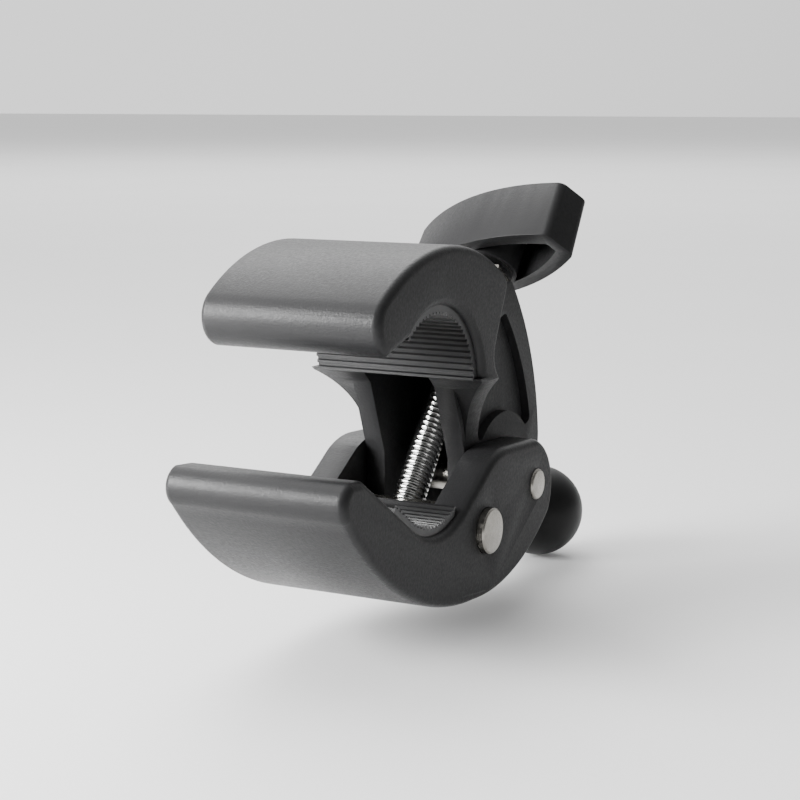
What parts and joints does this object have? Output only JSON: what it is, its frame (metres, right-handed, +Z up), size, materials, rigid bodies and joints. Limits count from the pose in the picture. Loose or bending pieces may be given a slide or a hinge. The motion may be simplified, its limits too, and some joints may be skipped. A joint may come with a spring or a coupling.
{
  "type": "super clamp",
  "caption": "Hinged jaw clamp with curved padded jaws, drawn shut by a threaded rod and wing knob, with a mounting ball on a post behind.",
  "frame": {"origin": "centre of the mounting ball", "axes": "+X across the jaws along the hinge pin, +Y from the mouth back towards the ball, +Z up through the upper jaw"},
  "size_m": [0.055, 0.1619, 0.1073],
  "materials": {
    "body_composite": "satin moulded",
    "jaw_composite": "satin moulded",
    "knob_composite": "fine spark-eroded grain",
    "cap_plastic": "satin",
    "slip_plastic": "plain",
    "bush_nylon": "plain",
    "jaw_rubber": "ribbed",
    "ball_rubber": "smooth matt",
    "post_alloy": "black anodised",
    "pin_steel": "turned",
    "nut_steel": "turned",
    "rocker_steel": "turned",
    "liner_steel": "pressed",
    "insert_steel": "zinc plated",
    "washer_steel": "zinc plated",
    "rod_zinc": "bright zinc plated",
    "screw_steel": "black oxide"
  },
  "bodies": {
    "frame": {"main_body": "body_composite", "upper_pad": "jaw_rubber", "cradle_liner": "liner_steel", "hinge_bushes": "bush_nylon", "ball_post": "post_alloy", "ball_cover": "ball_rubber", "ball_screw": "screw_steel", "ball_washer": "washer_steel"},
    "lower_jaw": {"lower_jaw": "jaw_composite", "lower_pad": "jaw_rubber", "hinge_pin": "pin_steel"},
    "barrel_nut": {"barrel_nut": "nut_steel"},
    "rocker": {"rocker": "rocker_steel", "slip_washer": "slip_plastic"},
    "knob": {"thrust_washer": "washer_steel", "threaded_rod": "rod_zinc", "knob_shell": "knob_composite", "knob_insert": "insert_steel", "knob_pin": "screw_steel", "knob_cap": "cap_plastic"}
  },
  "joints": [
    {"name": "jaw_close", "type": "hinge", "parent": "frame", "child": "lower_jaw", "pos_m": [0, -0.0526, 0.0195], "axis": [-1, 0, 0], "range_deg": [-5, 16]},
    {"name": "nut_pivot", "type": "hinge", "parent": "lower_jaw", "child": "barrel_nut", "pos_m": [0, -0.0816, 0.0135], "axis": [-1, 0, 0], "range_deg": [-11.14, 3.48]},
    {"name": "rocker_tilt", "type": "hinge", "parent": "frame", "child": "rocker", "pos_m": [0, -0.03707, 0.07008], "axis": [-1, 0, 0], "range_deg": [-1.52, 4.86]},
    {"name": "knob_turn", "type": "hinge", "parent": "rocker", "child": "knob", "pos_m": [0, -0.03707, 0.07008], "axis": [0, -0.6184, -0.7859], "range_deg": [-456.3, 1460.16]}
  ],
  "couplings": [
    {"joint": "jaw_close", "follows": "knob_turn", "ratio": 0.010958},
    {"joint": "nut_pivot", "follows": "knob_turn", "ratio": -0.0076298},
    {"joint": "rocker_tilt", "follows": "knob_turn", "ratio": 0.0033279}
  ]
}
